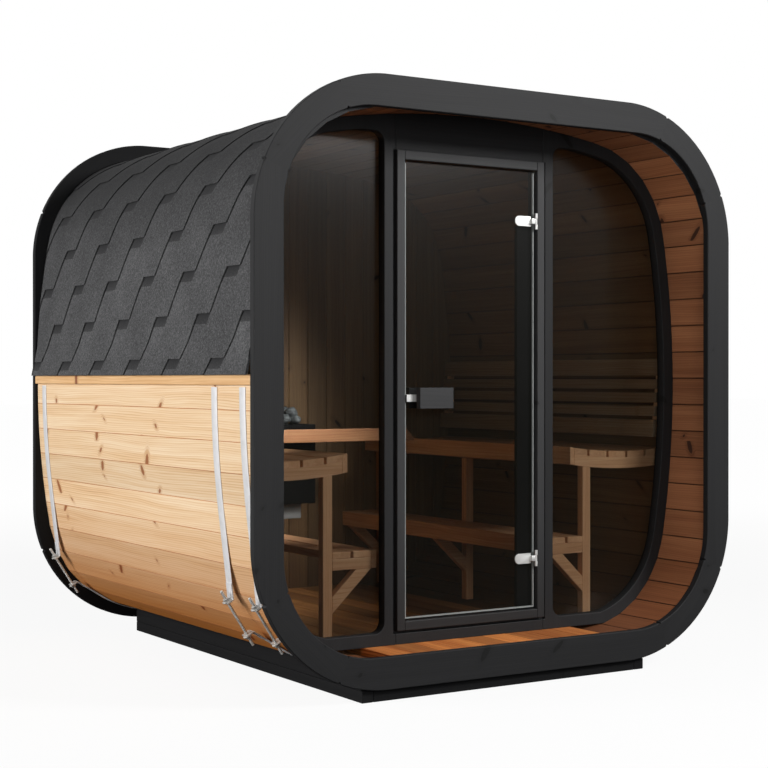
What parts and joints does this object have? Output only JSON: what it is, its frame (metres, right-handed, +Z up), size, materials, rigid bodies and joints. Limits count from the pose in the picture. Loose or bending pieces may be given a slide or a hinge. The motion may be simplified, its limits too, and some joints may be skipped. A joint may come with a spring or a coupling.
{
  "type": "cube sauna",
  "caption": "Rounded-square stave sauna cabin between two black end rings, with a glazed front, hinged glass door, shingled roof, steel hoops, benches and heater.",
  "frame": {"origin": "ground level under the middle of the sauna", "axes": "+X to the right seen from the door, +Y from the door to the back wall, +Z up"},
  "size_m": [2.092, 2.01, 2.1],
  "materials": {
    "black_wood": "charcoal-stained, matte",
    "stave_wood": "oiled light spruce",
    "room_wood": "oiled red-brown boards",
    "bench_wood": "smooth planed",
    "shingle": "granular bitumen",
    "strap_steel": "stainless, brushed",
    "tinted_glass": "bronze-tinted, polished",
    "dark_metal": "black powder coat",
    "grey_metal": "light grey powder coat",
    "stone": "rough heater stones"
  },
  "bodies": {
    "cabin": {"base_runners": "black_wood", "base_crossbeams": "black_wood", "cradle_rails": "black_wood", "floor_staves": "stave_wood", "left_wall_staves": "stave_wood", "right_wall_staves": "stave_wood", "roof_staves": "stave_wood", "lower_corner_staves": "stave_wood", "upper_corner_staves": "stave_wood", "front_ring_boards": "black_wood", "front_ring_corners": "black_wood", "back_ring_boards": "black_wood", "back_ring_corners": "black_wood", "roof_shingles": "shingle", "eave_battens": "stave_wood", "hoop_straps": "strap_steel", "hoop_brackets": "strap_steel", "tension_rods": "strap_steel", "floor_joists": "room_wood", "floor_boards": "room_wood", "front_wall_left": "black_wood", "front_wall_right": "black_wood", "front_wall_header": "black_wood", "front_wall_sill": "black_wood", "window_glass": "tinted_glass", "door_jambs": "black_wood", "door_head": "black_wood", "door_threshold": "black_wood", "hinge_stop": "black_wood", "hinge_knuckles": "strap_steel", "back_wall": "room_wood", "bench_slats": "bench_wood", "bench_fronts": "bench_wood", "bench_bearers": "bench_wood", "bench_legs": "bench_wood", "step_slats": "bench_wood", "step_fronts": "bench_wood", "step_bearers": "bench_wood", "step_braces": "bench_wood", "backrest_slats": "bench_wood", "backrest_wedges": "bench_wood", "heater_casing": "dark_metal", "heater_terminal_box": "grey_metal", "heater_stones": "stone", "heater_brackets": "dark_metal", "heater_guard": "bench_wood"},
    "door": {"door_glass": "tinted_glass", "door_hinge_plates": "strap_steel", "door_handle": "dark_metal", "door_latch": "strap_steel"}
  },
  "joints": [
    {"name": "door_hinge", "type": "hinge", "parent": "cabin", "child": "door", "pos_m": [0.289, -0.753, 0], "axis": [0, 0, 1], "range_deg": [0, 110]}
  ]
}
